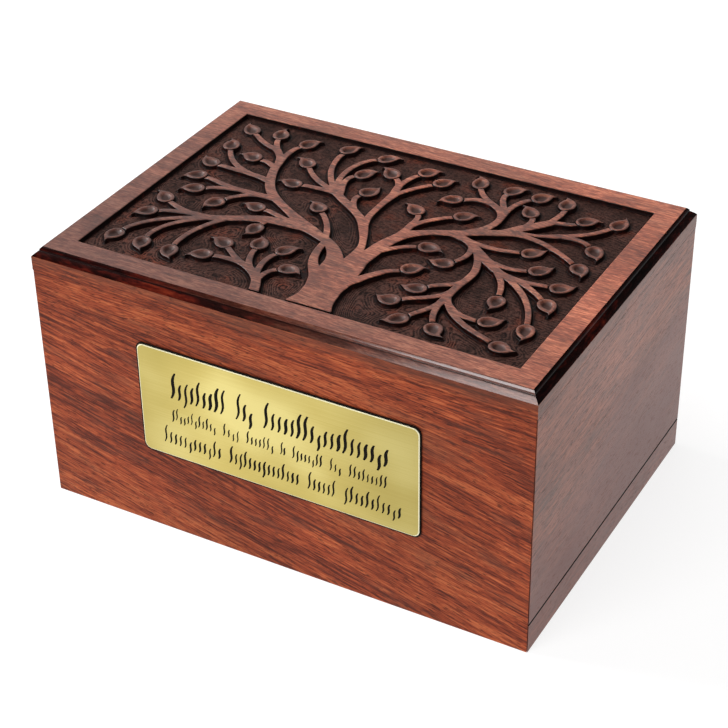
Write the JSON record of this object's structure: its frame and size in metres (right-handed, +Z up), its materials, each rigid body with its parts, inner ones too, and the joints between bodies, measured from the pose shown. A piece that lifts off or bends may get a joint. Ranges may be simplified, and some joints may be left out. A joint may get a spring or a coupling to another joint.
{
  "type": "cremation urn box",
  "caption": "Rosewood urn box with a tree carved in relief on its moulded top, a brass plate on the front and a bottom panel that slides out sideways.",
  "frame": {"origin": "middle of the footprint, on the surface the box stands on", "axes": "+Z up, +X along the length to the right as one faces the front, -Y towards the front with the brass plate"},
  "size_m": [0.266, 0.1872, 0.1436],
  "materials": {
    "rosewood_top": "satin lacquer, pinkish brown, dark in the carved ground",
    "rosewood_front": "satin lacquer, red-brown",
    "rosewood_back": "satin lacquer, red-brown",
    "rosewood_left": "satin lacquer, brown",
    "rosewood_side": "satin lacquer, greyish brown",
    "rosewood_strip": "satin lacquer, greyish brown",
    "rosewood_panel": "thin plain finish",
    "brushed_brass": "brushed, pale gold"
  },
  "bodies": {
    "box": {"carved_top": "rosewood_top", "front_board": "rosewood_front", "back_board": "rosewood_back", "left_board": "rosewood_left", "right_board": "rosewood_side", "nameplate": "brushed_brass"},
    "sliding_bottom": {"bottom_panel": "rosewood_panel", "end_strip": "rosewood_strip"}
  },
  "joints": [
    {"name": "bottom_slide", "type": "slide", "parent": "box", "child": "sliding_bottom", "axis": [1, 0, 0], "range_m": [0, 0.235]}
  ]
}
